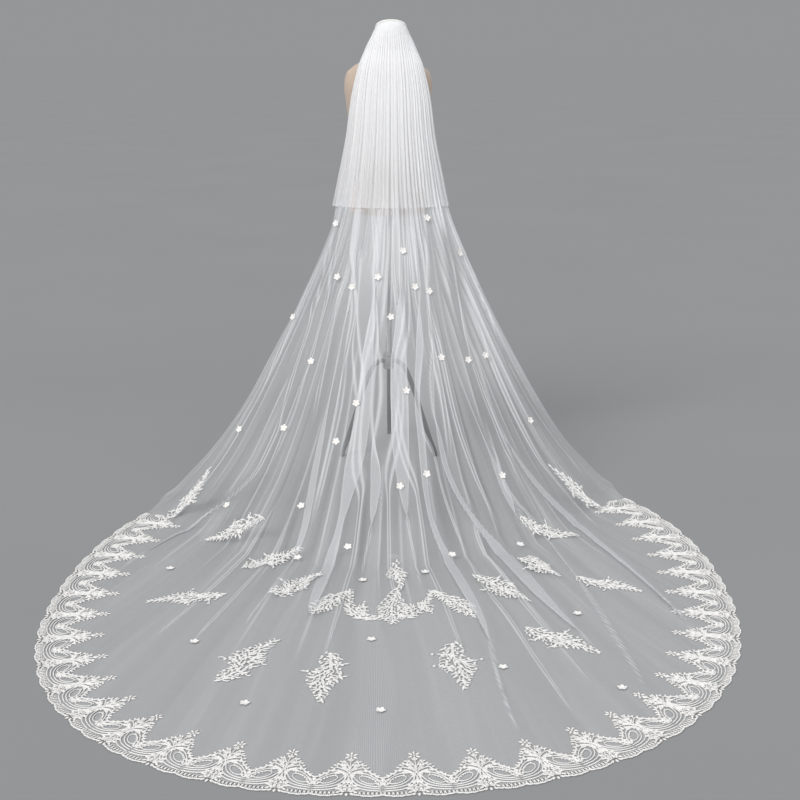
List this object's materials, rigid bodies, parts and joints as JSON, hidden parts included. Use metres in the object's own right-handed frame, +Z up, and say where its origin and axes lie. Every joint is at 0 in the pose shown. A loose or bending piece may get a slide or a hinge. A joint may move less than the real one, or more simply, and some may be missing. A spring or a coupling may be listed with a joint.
{
  "type": "bridal veil on dress form",
  "caption": "Bridal veil with a short upper tier and a long sheer tier fanning into a round lace-edged train, worn down the back of a limbless dress form on a stand.",
  "frame": {"origin": "on the floor, at the middle of the whole part's plan, which lies on the train behind the form", "axes": "+Z up; +Y the way the form faces; the train runs out towards -Y; +X to the form's right"},
  "size_m": [2.0966, 2.9314, 1.7516],
  "materials": {
    "sheer_tulle": "sheer soft net",
    "dense_tulle": "gathered soft net, nearly opaque",
    "header_ribbon": "satin ribbon",
    "corded_lace": "matt corded lace",
    "form_jersey": "matt jersey",
    "cap_wood": "satin varnish",
    "stand_enamel": "semi-gloss"
  },
  "bodies": {
    "root": {"long_tier": "sheer_tulle", "short_tier": "dense_tulle", "header": "header_ribbon", "lace_border": "corded_lace", "sprig_01": "corded_lace", "sprig_02": "corded_lace", "sprig_03": "corded_lace", "sprig_04": "corded_lace", "sprig_05": "corded_lace", "sprig_06": "corded_lace", "sprig_07": "corded_lace", "sprig_08": "corded_lace", "sprig_09": "corded_lace", "sprig_10": "corded_lace", "sprig_11": "corded_lace", "sprig_12": "corded_lace", "sprig_13": "corded_lace", "sprig_14": "corded_lace", "garland": "corded_lace", "blossom_01": "corded_lace", "blossom_02": "corded_lace", "blossom_03": "corded_lace", "blossom_04": "corded_lace", "blossom_05": "corded_lace", "blossom_06": "corded_lace", "blossom_07": "corded_lace", "blossom_08": "corded_lace", "blossom_09": "corded_lace", "blossom_10": "corded_lace", "blossom_11": "corded_lace", "blossom_12": "corded_lace", "blossom_13": "corded_lace", "blossom_14": "corded_lace", "blossom_15": "corded_lace", "blossom_16": "corded_lace", "blossom_17": "corded_lace", "blossom_18": "corded_lace", "blossom_19": "corded_lace", "blossom_20": "corded_lace", "blossom_21": "corded_lace", "blossom_22": "corded_lace", "blossom_23": "corded_lace", "blossom_24": "corded_lace", "blossom_25": "corded_lace", "blossom_26": "corded_lace", "blossom_27": "corded_lace", "blossom_28": "corded_lace", "blossom_29": "corded_lace", "blossom_30": "corded_lace", "torso": "form_jersey", "neck_cap": "cap_wood", "stand_pole": "stand_enamel", "stand_leg_1": "stand_enamel", "stand_leg_2": "stand_enamel", "stand_leg_3": "stand_enamel"}
  },
  "joints": []
}
